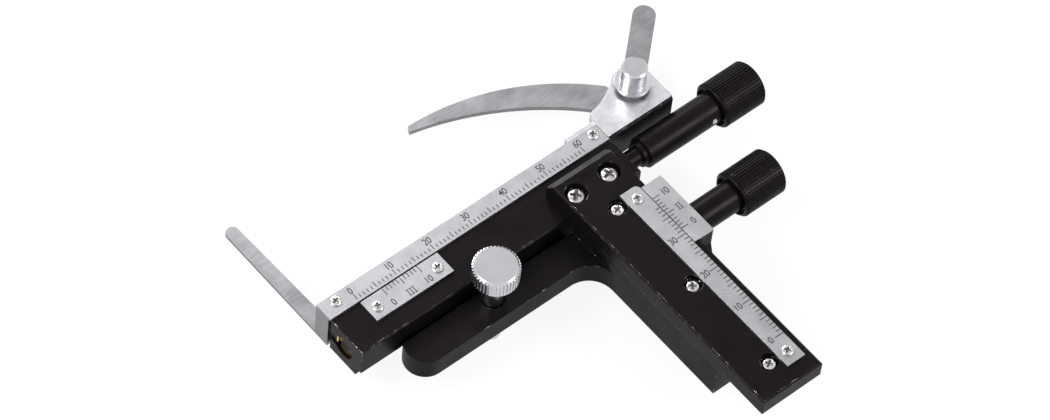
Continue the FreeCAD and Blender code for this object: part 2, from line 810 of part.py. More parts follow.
def worm_ring(x, turn):
    """Corners of the threads' section at x."""
    starts = round(size("worm_starts"))
    half_crest = math.radians(size("worm_crest_angle"))
    half_foot = math.radians(size("worm_foot_angle"))
    root, outer = size("worm_root"), size("worm_outer")
    profile = [(root, -half_foot), (outer, -half_crest), (outer, half_crest), (root, half_foot)]
    ring = []
    for start in range(starts):
        for radius, angle in profile:
            along = turn + angle + 2 * math.pi * start / starts
            ring.append(Vector(x, radius * math.cos(along), radius * math.sin(along)))
    return ring


def worm_thread():
    left, length, lead = size("worm_left"), size("worm_length"), size("worm_lead")
    phase = size("first_tooth - worm_pitch / 2")
    steps = round(size("worm_steps"))
    points = []
    for step in range(steps + 1):
        x = left + length * step / steps
        points += worm_ring(x, 2 * math.pi * (x - phase) / lead)
    across = len(points) // (steps + 1)
    facets = []
    for step in range(steps):
        for corner in range(across):
            after = (corner + 1) % across
            here, there = step * across, (step + 1) * across
            facets.append((here + corner, here + after, there + corner))
            facets.append((here + after, there + after, there + corner))
    for x, first in ((left, 0), (left + length, steps * across)):
        points.append(Vector(x, 0, 0))
        for corner in range(across):
            facets.append((len(points) - 1, first + corner, first + (corner + 1) % across))
    skin = Part.Shape()
    skin.makeShapeFromMesh((points, facets), 0.0001)
    solid = Part.Solid(Part.Shell(skin.Faces))
    if solid.Volume < 0:
        solid.reverse()
    return solid


def make_lead_screw():
    worm = doc.addObject("Part::Feature", "worm")
    worm.Shape = worm_thread()
    put(worm, y="screw_centre", z="screw_height")
    collar_end = "x_knob_start - worm_left"
    arbor = turned("screw_arbor", [
        ("0", "guide_left + bushing_recess - worm_left"),
        ("journal_radius", "guide_left + bushing_recess - worm_left"),
        ("journal_radius", "neck_start - worm_left"),
        ("neck_radius", "neck_start - worm_left"),
        ("neck_radius", "neck_start + neck_length - worm_left"),
        ("collar_radius", "neck_start + neck_length - worm_left"),
        ("collar_radius", collar_end),
        ("journal_radius", collar_end),
        ("journal_radius", f"{collar_end} + x_sleeve_length + knob_grip"),
        ("0", f"{collar_end} + x_sleeve_length + knob_grip"),
    ], ALONG_X, x="worm_left", y="screw_centre", z="screw_height")
    screw = doc.addObject("Part::Fuse", "x_lead_screw")
    screw.Base = arbor
    screw.Tool = worm
    return screw


# Graduated plates and their screws

def make_labels():
    x_scale = box_corners("x_scale_left", "bar_near - scale_overhang", "x_scale_end", "bar_far")
    plate("x_scale_plate", x_scale, "guide_top", "label_thickness")
    x_vernier = box_corners("x_vernier_left", "x_vernier_near", "x_vernier_left + x_vernier_length",
                            "x_vernier_far")
    plate("x_vernier_plate", x_vernier, "guide_top", "label_thickness")
    far = "y_scale_near + y_scale_length"
    y_scale = [
        ("y_scale_left", "y_scale_near"),
        ("y_scale_right", "y_scale_near"),
        ("y_scale_right", f"{far} - y_scale_corner", "y_scale_corner", 1),
        ("y_scale_right - y_scale_corner", far),
        ("y_scale_left", far),
    ]
    plate("y_scale_plate", y_scale, "plate_top", "label_thickness")
    y_vernier = box_corners("y_vernier_left", "ear_near", "ear_right", "ear_far")
    plate("y_vernier_plate", y_vernier, "ear_height", "y_label_top - ear_height")


def make_screws():
    """Heads alone: the shanks are out of sight in the plates."""
    def head(label, radius, height, x, y, seat):
        turned(label, box_corners("0", "0", radius, height), x=x, y=y, z=seat)

    for name, x in X_SCALE_SCREWS.items():
        head(name, "label_head_radius", "label_head_height", x, "x_scale_screw_row", "label_top")
    for name, x in X_VERNIER_SCREWS.items():
        head(name, "label_head_radius", "label_head_height", x, "x_vernier_screw_row", "label_top")
    for name, y in Y_SCALE_SCREWS.items():
        head(name, "label_head_radius", "label_head_height", Y_SCALE_ROW, y, "y_label_top")
    for name, y in PLATE_SCREWS.items():
        head(name, "plate_head_radius", "label_head_height", "rail_centre", y,
             "plate_top - plate_sink - label_head_height")
    for name, x in GUIDE_SCREWS.items():
        head(name, "guide_head_radius", "guide_head_height", x, "guide_screw_row",
             "plate_top - guide_sink - guide_head_height")


# Clips for the specimen glass

def make_fixed_clip():
    body = new_body("fixed_clip")
    left = "x_scale_left"
    wall = box_corners(left, "clip_near", "bar_left", "clip_near + clip_plate_depth")
    pad(body, "clip_wall", "XY_Plane", wall, "guide_top - table_gap", "table_gap")
    tip_far = "clip_tip_far"
    sole = [
        (left, "clip_near"),
        (f"{left} + clip_foot_width", "clip_near"),
        (f"{left} + clip_foot_width", "clip_near + clip_plate_depth"),
        (f"{left} + clip_tip_width", f"{tip_far} - clip_tip_round", "clip_tip_round", 1),
        (f"{left} + clip_tip_width - clip_tip_round", tip_far),
        (f"{left} + clip_tip_round", tip_far, "clip_tip_round", 1),
        (left, f"{tip_far} - clip_tip_round"),
    ]
    pad(body, "clip_finger", "XY_Plane", sole, "clip_sole", "table_gap")


def make_clip_bracket():
    body = new_body("clip_bracket")
    roof = box_corners("wing_start", "bar_near + roof_setback", "bar_right", "bar_far")
    pad(body, "bracket_roof", "XY_Plane", roof, "label_thickness", "guide_top")
    wing = [
        ("wing_start", "bar_far"),
        ("bar_right", "bar_far"),
        ("bar_right", "wing_end_far", "wing_radius", 1),
        ("wing_shoulder_x", "wing_shoulder_y", "wing_hollow", -1),
        ("wing_corner_x", "wing_corner_y"),
        ("wing_start", "bar_far + lip_depth"),
    ]
    pad(body, "bracket_wing", "XY_Plane", wing, "wing_thickness", "wing_base")
    lip = box_corners("lip_start", "bar_far", "wing_start", "bar_far + lip_depth")
    pad(body, "bracket_lip", "XY_Plane", lip, "guide_top - wing_base", "wing_base")
    boss = [("pivot_x", "pivot_y", "boss_radius")]
    pad(body, "bracket_boss", "XY_Plane", [], "wing_base - boss_base", "boss_base", boss)
    bore = [("pivot_x", "pivot_y", "pin_radius")]
    pocket(body, "pin_bore", "XY_Plane", [], "label_top + cut_margin", "label_top + cut_margin", bore)


def make_pivot_post():
    base = "finger_base"
    turned("pivot_post", [
        ("0", "0"),
        ("pin_radius", "0"),
        ("pin_radius", f"label_top - {base}"),
        ("post_neck_radius", f"label_top - {base}"),
        ("post_neck_radius", f"disc_base - {base}"),
        ("post_disc_radius", f"disc_base - {base}"),
        ("post_disc_radius", f"cap_base - {base}"),
        ("post_cap_radius", f"cap_base - {base}"),
        ("post_cap_radius", "post_height - post_cap_edge"),
        ("post_cap_radius - post_cap_edge", "post_height"),
        ("0", "post_height"),
    ], x="pivot_x", y="pivot_y", z=base)


def make_spring_finger():
    body = new_body("spring_finger")
    pad(body, "hub", "XY_Plane", [], "finger_thickness", holes=[("0", "0", "hub_radius")])
    blade = [
        ("finger_tip_x", "finger_tip_y", "finger_inner_bow", -1),
        ("finger_root_x", "finger_root_y"),
        ("-hub_radius", "0"),
        ("hub_radius * tab_cos", "hub_radius * tab_sin"),
        ("finger_heel_x", "finger_heel_y", "finger_outer_bow", 1),
        ("finger_tip_x + finger_tip_slant", "finger_tip_y + finger_tip_width"),
    ]
    pad(body, "blade", "XY_Plane", blade, "finger_thickness")
    across, up = "tab_half * tab_sin", "tab_half * tab_cos"
    along, rise = "tab_straight * tab_cos", "tab_straight * tab_sin"
    tab = [
        (across, f"-{up}"),
        (f"{along} + {across}", f"{rise} - {up}", "tab_half", 1),
        ("tab_reach * tab_cos", "tab_reach * tab_sin", "tab_half", 1),
        (f"{along} - {across}", f"{rise} + {up}"),
        (f"-{across}", up),
    ]
    pad(body, "thumb_tab", "XY_Plane", tab, "finger_thickness")
    bore = [("0", "0", "pin_radius + running_gap")]
    pocket(body, "pivot_bore", "XY_Plane", [], "finger_thickness + 2 * cut_margin",
           "finger_thickness + cut_margin", bore)
    put(body, "pivot_x", "pivot_y", "finger_base")


make_mount_bracket()
make_pinion_bushing()
make_thumb_screw()
make_y_plate()
make_rail()
make_rack()
make_pinion()
make_knob("y_knob", "y_sleeve_radius", "y_sleeve_length", "pinion_shaft",
          "y_knob_start", "pinion_centre", "pinion_height")
make_guide()
make_screw_bushing("x_bushing_left", "guide_left + bushing_recess", "left_bushing_length")
make_screw_bushing("x_bushing_right", "guide_right - right_bushing_length", "right_bushing_length")
make_slide_bar()
make_rack_strip()
lead_screw = make_lead_screw()
turned("x_thrust_washer", box_corners("journal_radius", "0", "washer_radius", "washer_thickness"),
       ALONG_X, x="neck_start - washer_thickness", y="screw_centre", z="screw_height")
make_knob("x_knob", "x_sleeve_radius", "x_sleeve_length", "journal_radius",
          "x_knob_start", "screw_centre", "screw_height")
make_labels()
make_screws()
make_fixed_clip()
make_clip_bracket()
make_pivot_post()
make_spring_finger()

doc.recompute()
pieces = [thing for thing in doc.Objects
          if thing.TypeId == "PartDesign::Body" and thing.Name != "screw_arbor"]
pieces.append(lead_screw)

for thing in doc.Objects:
    if "Invalid" in thing.State or "Error" in thing.State:
        raise ValueError(f"{thing.Name} is in state {thing.State}")
for piece in pieces:
    if piece.Shape.isNull() or not piece.Shape.isValid():
        raise ValueError(f"{piece.Label} has no valid shape")

os.makedirs("parts", exist_ok=True)
for piece in pieces:
    piece.Shape.exportStep(f"parts/{piece.Label}.step")
    box = piece.Shape.BoundBox
    print(f"{piece.Label}: solids {len(piece.Shape.Solids)}, volume {piece.Shape.Volume:.1f}, "
          f"x {box.XMin:.2f} to {box.XMax:.2f}, y {box.YMin:.2f} to {box.YMax:.2f}, "
          f"z {box.ZMin:.2f} to {box.ZMax:.2f}")
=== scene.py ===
# %% [markdown]
# # A mechanical microscope stage
# This lesson dresses a small instrument: two crossed slides with scales, two black
# knobs, a chrome thumb screw and a pair of clips for a glass specimen slide.
# The solid parts already exist, so the first step only loads them and notes the size
# of the whole thing.

# %% Load the stage
import bmesh
import bpy
import math
from mathutils import Matrix, Vector


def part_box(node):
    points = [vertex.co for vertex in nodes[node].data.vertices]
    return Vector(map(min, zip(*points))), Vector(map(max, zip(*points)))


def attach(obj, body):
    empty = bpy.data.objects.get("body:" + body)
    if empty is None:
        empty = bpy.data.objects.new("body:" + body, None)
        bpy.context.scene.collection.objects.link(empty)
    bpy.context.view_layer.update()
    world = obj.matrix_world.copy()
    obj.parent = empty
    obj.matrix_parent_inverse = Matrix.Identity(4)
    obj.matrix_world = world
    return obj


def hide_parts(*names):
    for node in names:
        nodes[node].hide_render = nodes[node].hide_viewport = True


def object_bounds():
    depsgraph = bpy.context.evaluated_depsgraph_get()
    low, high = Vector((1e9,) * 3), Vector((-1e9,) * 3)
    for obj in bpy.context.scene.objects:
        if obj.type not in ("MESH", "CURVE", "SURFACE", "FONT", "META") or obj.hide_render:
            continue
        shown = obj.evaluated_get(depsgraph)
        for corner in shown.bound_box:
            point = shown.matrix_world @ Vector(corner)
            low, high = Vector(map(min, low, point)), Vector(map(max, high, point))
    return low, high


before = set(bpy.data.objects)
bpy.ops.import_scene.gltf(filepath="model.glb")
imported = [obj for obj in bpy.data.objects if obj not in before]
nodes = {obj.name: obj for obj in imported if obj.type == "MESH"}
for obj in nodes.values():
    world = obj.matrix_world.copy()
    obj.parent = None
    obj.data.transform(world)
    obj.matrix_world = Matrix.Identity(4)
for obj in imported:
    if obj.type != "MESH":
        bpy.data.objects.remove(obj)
cad_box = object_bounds()
MM = 0.001
print("nodes", len(nodes), "box", [[round(v / MM, 2) for v in corner] for corner in cad_box])

# %% [markdown]
# ## The camera
# A product photograph of something this small is taken from far away with a long lens,
# so parallel edges stay nearly parallel. The camera stands about a metre off, high up
# and to the left, and leans a few degrees. A pasted matrix would give the same view,
# but three angles can be read and changed, so the rotation is built from them: one
# direction points back from the stage to the camera, one right and one up.

# %% Camera
CAMERA_TURN = math.radians(-45.606)
CAMERA_HEIGHT = math.radians(55.280)
CAMERA_LEAN = math.radians(6.940)
CAMERA_AIM = Vector((19.343, 12.909, 5.0)) * MM
CAMERA_DISTANCE = 1043.07 * MM
CAMERA_LENS = 174.385
SENSOR_WIDTH = 36
NEAR_LIMIT = 0.05

back = Vector((math.sin(CAMERA_TURN) * math.cos(CAMERA_HEIGHT),
               -math.cos(CAMERA_TURN) * math.cos(CAMERA_HEIGHT),
               math.sin(CAMERA_HEIGHT)))
level = Vector((0, 0, 1)).cross(back).normalized()
upright = back.cross(level)
right = math.cos(CAMERA_LEAN) * level + math.sin(CAMERA_LEAN) * upright
up = back.cross(right)
camera_data = bpy.data.cameras.new("camera")
camera_data.lens = CAMERA_LENS
camera_data.sensor_width = SENSOR_WIDTH
camera_data.clip_start = NEAR_LIMIT
camera = bpy.data.objects.new("camera", camera_data)
scene = bpy.context.scene
scene.collection.objects.link(camera)
turn = Matrix((right, up, back)).transposed().to_4x4()
camera.matrix_world = Matrix.Translation(CAMERA_AIM + back * CAMERA_DISTANCE) @ turn
scene.camera = camera
print("camera at", [round(v, 3) for v in camera.matrix_world.translation])

# %% [markdown]
# ## The white room
# Black enamel and bright metal show mostly what they reflect, so the room matters as
# much as their own colours. Rays that come straight to the camera, or off a shiny
# face, should see plain white paper. The light that falls on the stage should be
# weaker, or pale metal washes out. One strength can't do both, so the Light Path
# node picks between two: it knows what kind of ray is asking.

# %% White room
PAPER_WHITE = (1, 1, 1, 1)
PAPER_STRENGTH = 1.0
ROOM_COLOUR = (0.93, 0.95, 1.0, 1)
ROOM_STRENGTH = 0.55


def paper_rays(tree):
    """1 for the rays that see the white paper, and 0 for the ones that only light the stage."""
    path = tree.nodes.new("ShaderNodeLightPath")
    total = path.outputs["Is Camera Ray"]
    for kind in ("Is Glossy Ray", "Is Transmission Ray"):
        highest = tree.nodes.new("ShaderNodeMath")
        highest.operation = "MAXIMUM"
        tree.links.new(total, highest.inputs[0])
        tree.links.new(path.outputs[kind], highest.inputs[1])
        total = highest.outputs[0]
    return total


def add_background(tree, colour, strength):
    background = tree.nodes.new("ShaderNodeBackground")
    background.inputs["Color"].default_value = colour
    background.inputs["Strength"].default_value = strength
    return background.outputs[0]


scene.view_settings.view_transform = "Standard"
world = bpy.data.worlds.new("room")
scene.world = world
world.use_nodes = True
tree = world.node_tree
tree.nodes.clear()
choose = tree.nodes.new("ShaderNodeMixShader")
world_out = tree.nodes.new("ShaderNodeOutputWorld")
tree.links.new(paper_rays(tree), choose.inputs[0])
tree.links.new(add_background(tree, ROOM_COLOUR, ROOM_STRENGTH), choose.inputs[1])
tree.links.new(add_background(tree, PAPER_WHITE, PAPER_STRENGTH), choose.inputs[2])
tree.links.new(choose.outputs[0], world_out.inputs["Surface"])
print("room strength", ROOM_STRENGTH, "paper strength", PAPER_STRENGTH)

# %% [markdown]
# ## Three soft lamps
# A point lamp leaves a small hard dot on every round part. A square lamp that is wider
# than the stage is long leaves a broad streak instead. The front lamp stands well to
# the right, because from there a sleeve that runs along X mirrors it to the camera as
# one long soft line.

# %% Lamps
def add_lamp(name, place, size, power):
    """A soft square lamp that looks at the middle of the stage; place is in metres."""
    data = bpy.data.lights.new(name, "AREA")
    data.size = size
    data.energy = power
    lamp = bpy.data.objects.new(name, data)
    lamp.location = place
    lamp.rotation_euler = (CAMERA_AIM - Vector(place)).to_track_quat("-Z", "Y").to_euler()
    scene.collection.objects.link(lamp)
    print(name, "at", place, "power", power)


add_lamp("lamp_left", place=(-0.45, 0.15, 0.50), size=0.30, power=5.0)
add_lamp("lamp_back", place=(0.20, 0.60, 0.45), size=0.35, power=4.0)
add_lamp("lamp_front", place=(0.40, -0.58, 0.51), size=0.30, power=4.5)

# %% [markdown]
# ## The floor
# The stage lies on white paper that runs out of the picture on all sides. A plain
# white surface would look grey where the lamps are weak, and one that only glows
# would lose the soft shadow. The floor mixes the two: mostly glow for the rays that
# see paper, and a share of plain surface that still takes the shadow.

# %% Floor
FLOOR_DROP = 0.05 * MM
FLOOR_REACH = 1.5
FLOOR_GREY = (0.85, 0.85, 0.85, 1)
FLOOR_GLOW = 0.90

floor_level = cad_box[0][2] - FLOOR_DROP
corners = [(x * FLOOR_REACH, y * FLOOR_REACH, floor_level)
           for x, y in ((-1, -1), (1, -1), (1, 1), (-1, 1))]
floor_mesh = bpy.data.meshes.new("floor")
floor_mesh.from_pydata(corners, [], [(0, 1, 2, 3)])
floor = bpy.data.objects.new("floor", floor_mesh)
scene.collection.objects.link(floor)
floor_paper = bpy.data.materials.new("floor_paper")
floor_paper.use_nodes = True
tree = floor_paper.node_tree
tree.nodes.clear()
surface = tree.nodes.new("ShaderNodeBsdfDiffuse")
surface.inputs["Color"].default_value = FLOOR_GREY
glow = tree.nodes.new("ShaderNodeEmission")
share = tree.nodes.new("ShaderNodeMath")
share.operation = "MULTIPLY"
share.inputs[1].default_value = FLOOR_GLOW
blend = tree.nodes.new("ShaderNodeMixShader")
floor_out = tree.nodes.new("ShaderNodeOutputMaterial")
tree.links.new(paper_rays(tree), share.inputs[0])
tree.links.new(share.outputs[0], blend.inputs[0])
tree.links.new(surface.outputs[0], blend.inputs[1])
tree.links.new(glow.outputs[0], blend.inputs[2])
tree.links.new(blend.outputs[0], floor_out.inputs["Surface"])
floor_mesh.materials.append(floor_paper)
print("floor at", round(floor_level / MM, 2), "mm")

# %% [markdown]
# ## A workbench for finishes
# Every finish here is a metal or a paint with the same few layers: a colour that
# varies a little, a roughness that varies more, and fine bumps. Small helpers make
# those layers, so that each finish below reads as a short recipe. The noise is
# measured in the object's own space, so it stays on a part when the part moves. Most
# of a noise's values lie in NOISE_SPAN, so a range that starts from it is well used.

# %% Noise, ranges and mixes
MIX_COLOUR_SOCKETS = (6, 7)
MIX_COLOUR_RESULT = 2
NOISE_SPAN = (0.3, 0.7)


def start_finish(name):
    """A material, its node tree and its Principled shader."""
    material = bpy.data.materials.new(name)
    material.use_nodes = True
    return material, material.node_tree, material.node_tree.nodes["Principled BSDF"]


def add_noise(tree, scale, detail, stretch=(1, 1, 1)):
    """Noise in the object's own space, in cells per metre; a low stretch draws out lines."""
    place = tree.nodes.new("ShaderNodeTexCoord")
    mapping = tree.nodes.new("ShaderNodeMapping")
    mapping.inputs["Scale"].default_value = stretch
    noise = tree.nodes.new("ShaderNodeTexNoise")
    noise.inputs["Scale"].default_value = scale
    noise.inputs["Detail"].default_value = detail
    tree.links.new(place.outputs["Object"], mapping.inputs["Vector"])
    tree.links.new(mapping.outputs["Vector"], noise.inputs["Vector"])
    return noise.outputs["Fac"]


def add_range(tree, source, low, high, out_low, out_high):
    """Maps a value from one range to another, held at its ends."""
    node = tree.nodes.new("ShaderNodeMapRange")
    for socket, value in zip(("From Min", "From Max", "To Min", "To Max"),
                             (low, high, out_low, out_high)):
        node.inputs[socket].default_value = value
    tree.links.new(source, node.inputs["Value"])
    return node.outputs["Result"]


def add_math(tree, operation, first, second):
    """A sum or product of two values; the second may be a plain number."""
    node = tree.nodes.new("ShaderNodeMath")
    node.operation = operation
    tree.links.new(first, node.inputs[0])
    if isinstance(second, float):
        node.inputs[1].default_value = second
    else:
        tree.links.new(second, node.inputs[1])
    return node.outputs[0]


def add_mix(tree, fac, first, second):
    """A colour mix; each colour may be a triple or a socket."""
    node = tree.nodes.new("ShaderNodeMix")
    node.data_type = "RGBA"
    tree.links.new(fac, node.inputs["Factor"])
    for socket, value in zip(MIX_COLOUR_SOCKETS, (first, second)):
        if isinstance(value, tuple):
            node.inputs[socket].default_value = (*value, 1)
        else:
            tree.links.new(value, node.inputs[socket])
    return node.outputs[MIX_COLOUR_RESULT]


print("noise, range, sum and mix helpers")

# %% [markdown]
# ## Round edges without more faces
# A real edge is never quite sharp: it catches a thin line of light. Bevelled faces
# would do that too, but on 36 parts they cost many triangles. The Bevel shader node
# bends only the light at an edge. Comparing its direction with the true face also
# tells where the edges are, which the worn paint needs.

# %% Edges and bumps
BEVEL_SAMPLES = 6


def add_bevel(tree, radius):
    bevel = tree.nodes.new("ShaderNodeBevel")
    bevel.samples = BEVEL_SAMPLES
    bevel.inputs["Radius"].default_value = radius
    return bevel.outputs["Normal"]


def soften(tree, shader, height, strength, distance, radius):
    """Round edges by radius, with fine bumps from a height on top."""
    bump = tree.nodes.new("ShaderNodeBump")
    bump.inputs["Strength"].default_value = strength
    bump.inputs["Distance"].default_value = distance
    tree.links.new(height, bump.inputs["Height"])
    tree.links.new(add_bevel(tree, radius), bump.inputs["Normal"])
    tree.links.new(bump.outputs["Normal"], shader.inputs["Normal"])


def edge_mask(tree, radius, low, high):
    """1 where the rounded light turns far from the face, and 0 on open faces."""
    flat = tree.nodes.new("ShaderNodeNewGeometry")
    compare = tree.nodes.new("ShaderNodeVectorMath")
    compare.operation = "DOT_PRODUCT"
    tree.links.new(add_bevel(tree, radius), compare.inputs[0])
    tree.links.new(flat.outputs["True Normal"], compare.inputs[1])
    return add_range(tree, compare.outputs["Value"], high, low, 0, 1)


print("bevel samples", BEVEL_SAMPLES)

# %% [markdown]
# ## Black enamel
# The castings and bars are metal under a satin black paint with a trace of brown. It
# has a faint orange-peel skin, and is rubbed through to bright metal where edges meet
# hands and other parts. An even bright line along every edge looks drawn, so the edge
# mask is multiplied with noise and the wear comes in runs and chips.

# %% Black enamel
ENAMEL_DARK = (0.0028, 0.0022, 0.0025)
ENAMEL_LIGHT = (0.0060, 0.0048, 0.0052)
ENAMEL_GLOSS = 0.07
ENAMEL_TINT = (1.0, 0.84, 0.89, 1)
RUBBED_METAL = (0.50, 0.49, 0.48)
ENAMEL_SMOOTHER = 0.06
ENAMEL_ROUGHER = 0.08
ENAMEL_EDGE = 0.16 * MM
EDGE_LEAST = 0.86
EDGE_MOST = 0.97
SKIN_CELLS = 2600
SKIN_DEPTH = 0.02 * MM
SKIN_STRENGTH = 0.25
ENAMEL_CLOUD_CELLS = 160
CHIP_CELLS = 700
CHIP_START = 0.62
CHIP_FULL = 0.72


def make_black(name, roughness, wear):
    """Satin black paint; the more wear, the more of its edges is bare."""
    material, tree, shader = start_finish(name)
    shader.inputs["Specular IOR Level"].default_value = ENAMEL_GLOSS
    shader.inputs["Specular Tint"].default_value = ENAMEL_TINT
    skin = add_noise(tree, SKIN_CELLS, detail=3)
    cloud = add_noise(tree, ENAMEL_CLOUD_CELLS, detail=4)
    chips = add_noise(tree, CHIP_CELLS, detail=6)
    edge = edge_mask(tree, ENAMEL_EDGE, EDGE_LEAST, EDGE_MOST)
    flaked = add_range(tree, chips, CHIP_START - wear, CHIP_FULL - wear, 0, 1)
    rubbed = add_math(tree, "MULTIPLY", edge, flaked)
    paint = add_mix(tree, cloud, ENAMEL_DARK, ENAMEL_LIGHT)
    tree.links.new(add_mix(tree, rubbed, paint, RUBBED_METAL), shader.inputs["Base Color"])
    tree.links.new(rubbed, shader.inputs["Metallic"])
    sheen = add_range(tree, cloud, *NOISE_SPAN, roughness - ENAMEL_SMOOTHER, roughness + ENAMEL_ROUGHER)
    tree.links.new(sheen, shader.inputs["Roughness"])
    soften(tree, shader, skin, SKIN_STRENGTH, SKIN_DEPTH, ENAMEL_EDGE)
    return material


black_bar = make_black("black_bar", roughness=0.34, wear=0.10)
black_casting = make_black("black_casting", roughness=0.40, wear=0.05)
black_knob = make_black("black_knob", roughness=0.33, wear=-0.06)
print("three black finishes")

# %% [markdown]
# ## Bare metals
# The scale plates are aluminium with an even satin grain, so their noise is fine and
# has no direction. Turned and plated parts are smoother. The clips are ground strip
# with lines along X: noise scaled down in X is drawn out into lines. Brass shows only
# inside, at the rack and the bearings. One recipe serves all, with its own two
# colours, grain and roughness for each.

# %% Recipe for metals
GRAIN_SHARE = 0.55
GRAIN_DEPTH = 0.012 * MM
GRAIN_SPAN = (0.35, 0.65)
METAL_CLOUD_CELLS = 220
METAL_SMOOTHER = 0.07
METAL_ROUGHER = 0.09
METAL_EDGE = 0.08 * MM


def make_metal(name, dark, light, roughness, grain, bump, stretch=(1, 1, 1)):
    """Metal whose colour and roughness follow a fine grain over slow clouds."""
    material, tree, shader = start_finish(name)
    shader.inputs["Metallic"].default_value = 1.0
    fine = add_noise(tree, grain, detail=4, stretch=stretch)
    cloud = add_noise(tree, METAL_CLOUD_CELLS, detail=4)
    mixed = add_math(tree, "ADD", add_math(tree, "MULTIPLY", fine, GRAIN_SHARE),
                     add_math(tree, "MULTIPLY", cloud, 1 - GRAIN_SHARE))
    spread = add_range(tree, mixed, *GRAIN_SPAN, 0, 1)
    tree.links.new(add_mix(tree, spread, dark, light), shader.inputs["Base Color"])
    sheen = add_range(tree, mixed, *NOISE_SPAN, roughness - METAL_SMOOTHER, roughness + METAL_ROUGHER)
    tree.links.new(sheen, shader.inputs["Roughness"])
    soften(tree, shader, fine, bump, GRAIN_DEPTH, METAL_EDGE)
    return material


print("metal recipe, grain share", GRAIN_SHARE)

# %% Aluminium and plated parts
satin_plate = make_metal("satin_plate", (0.27, 0.27, 0.285), (0.35, 0.35, 0.365),
                         roughness=0.42, grain=5200, bump=0.25)
bare_aluminium = make_metal("bare_aluminium", (0.42, 0.42, 0.44), (0.54, 0.54, 0.56),
                            roughness=0.34, grain=3000, bump=0.3, stretch=(1, 0.4, 1))
bright_plate = make_metal("bright_plate", (0.52, 0.52, 0.55), (0.64, 0.64, 0.67),
                          roughness=0.20, grain=3500, bump=0.1)
# The tops are rougher, and their darker colour is painted shade on faces that look up.
matt_top_painted_shade = make_metal("matt_top_painted_shade", (0.25, 0.25, 0.265), (0.32, 0.32, 0.335),
                      roughness=0.5, grain=5200, bump=0.3)
print("aluminium and plated finishes")

# %% Steel and brass
screw_steel = make_metal("screw_steel", (0.44, 0.43, 0.42), (0.60, 0.59, 0.58),
                         roughness=0.26, grain=4000, bump=0.15)
# Painted shade: a dark copy of the screw steel for the faces inside the crossed recess.
recess_painted_shade = make_metal("recess_painted_shade", (0.05, 0.045, 0.045), (0.14, 0.13, 0.13),
                         roughness=0.4, grain=4000, bump=0.2)
ground_steel = make_metal("ground_steel", (0.17, 0.17, 0.18), (0.26, 0.26, 0.27),
                          roughness=0.36, grain=4200, bump=0.3, stretch=(0.06, 1, 1))
dull_steel = make_metal("dull_steel", (0.30, 0.30, 0.31), (0.42, 0.42, 0.43),
                        roughness=0.38, grain=3000, bump=0.25, stretch=(1, 0.1, 1))
brass = make_metal("brass", (0.52, 0.36, 0.13), (0.70, 0.50, 0.20),
                   roughness=0.30, grain=3000, bump=0.2, stretch=(1, 0.2, 1))
# Painted shade: a dark copy of the brass for the bearing inside the guide's left bore.
brass_painted_shade = make_metal("brass_painted_shade", (0.05, 0.035, 0.018), (0.12, 0.08, 0.04),
                         roughness=0.5, grain=3000, bump=0.2, stretch=(1, 0.2, 1))
print("steel and brass finishes")

# %% [markdown]
# ## A finish for every solid
# The finishes go onto the solid parts here, by name. The parts themselves are not
# moved or reshaped. The thumb screw and the pivot's post have turned sides and a matt
# top that shows as a grey disc, so their uppermost flat faces get a finish of their
# own: rougher, and darker as painted shade on the faces that look up.

# %% Finishes on the solids
FINISHES = {
    black_casting: ("mount_bracket",),
    black_bar: ("y_slide_plate", "x_guide_bar", "x_slide_bar"),
    black_knob: ("x_knob", "y_knob", "x_lead_screw"),
    satin_plate: ("x_scale_plate", "x_vernier_plate", "y_scale_plate", "y_vernier_plate"),
    bare_aluminium: ("clip_bracket",),
    bright_plate: ("clamp_head", "clamp_stud", "pivot_post"),
    ground_steel: ("fixed_clip", "spring_finger"),
    dull_steel: ("y_dovetail_rail", "x_thrust_washer", "y_pinion_shaft"),
    brass: ("y_rack", "x_rack_strip", "pinion_bushing", "x_bushing_right"),
    brass_painted_shade: ("x_bushing_left",),
}
for finish, names in FINISHES.items():
    for name in names:
        mesh = nodes[name].data
        mesh.materials.clear()
        mesh.materials.append(finish)
print("finished", sum(len(names) for names in FINISHES.values()), "nodes")

# %% Matt tops with painted shade
LEVEL_FACE = 0.99
TOP_DEPTH = 0.05 * MM

# The uppermost flat faces take the second finish, whose darker colour is painted shade.
for name in ("clamp_head", "pivot_post"):
    mesh = nodes[name].data
    mesh.materials.append(matt_top_painted_shade)
    summit = max(vertex.co.z for vertex in mesh.vertices)
    tops = [face for face in mesh.polygons
            if face.normal.z > LEVEL_FACE and face.center.z > summit - TOP_DEPTH]
    for face in tops:
        face.material_index = 1
    print(name, "matt faces", len(tops))

# %% [markdown]
# ## Printed lines
# The scales are printed in black ink. An image of the lines would blur when seen
# close, and so would lines drawn in a shader once it is baked to an image. So each
# stroke is a thin bar of ink on the plate, and a scale's strokes are joined in one
# mesh that rides with its plate. Places are measured from the plate's own box. Longer
# strokes mark the tens and the fives.

# %% Ink
INK_DARK = (0.008, 0.008, 0.010)
INK_LIGHT = (0.030, 0.030, 0.034)
INK_ROUGHNESS = 0.55
INK_CELLS = 1800
INK_HEIGHT = 0.02

ink, ink_tree, ink_shader = start_finish("ink")
ink_shader.inputs["Roughness"].default_value = INK_ROUGHNESS
ink_colour = add_mix(ink_tree, add_noise(ink_tree, INK_CELLS, detail=4), INK_DARK, INK_LIGHT)
ink_tree.links.new(ink_colour, ink_shader.inputs["Base Color"])
print("ink", INK_HEIGHT, "mm high")

# %% Bars and strokes
STROKE_WIDTH = 0.20


def plate_box(node):
    """Low and high corner of a plate, in millimetres to a thousandth."""
    return [[round(v / MM, 3) for v in corner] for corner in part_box(node)]


def add_bar(shape, low, high):
    """A closed box between two corners, in millimetres, added to a bmesh."""
    middle = (Vector(low) + Vector(high)) / 2 * MM
    size = (Vector(high) - Vector(low)) * MM
    place = Matrix.Translation(middle) @ Matrix.Diagonal((*size, 1))
    bmesh.ops.create_cube(shape, size=1, matrix=place)


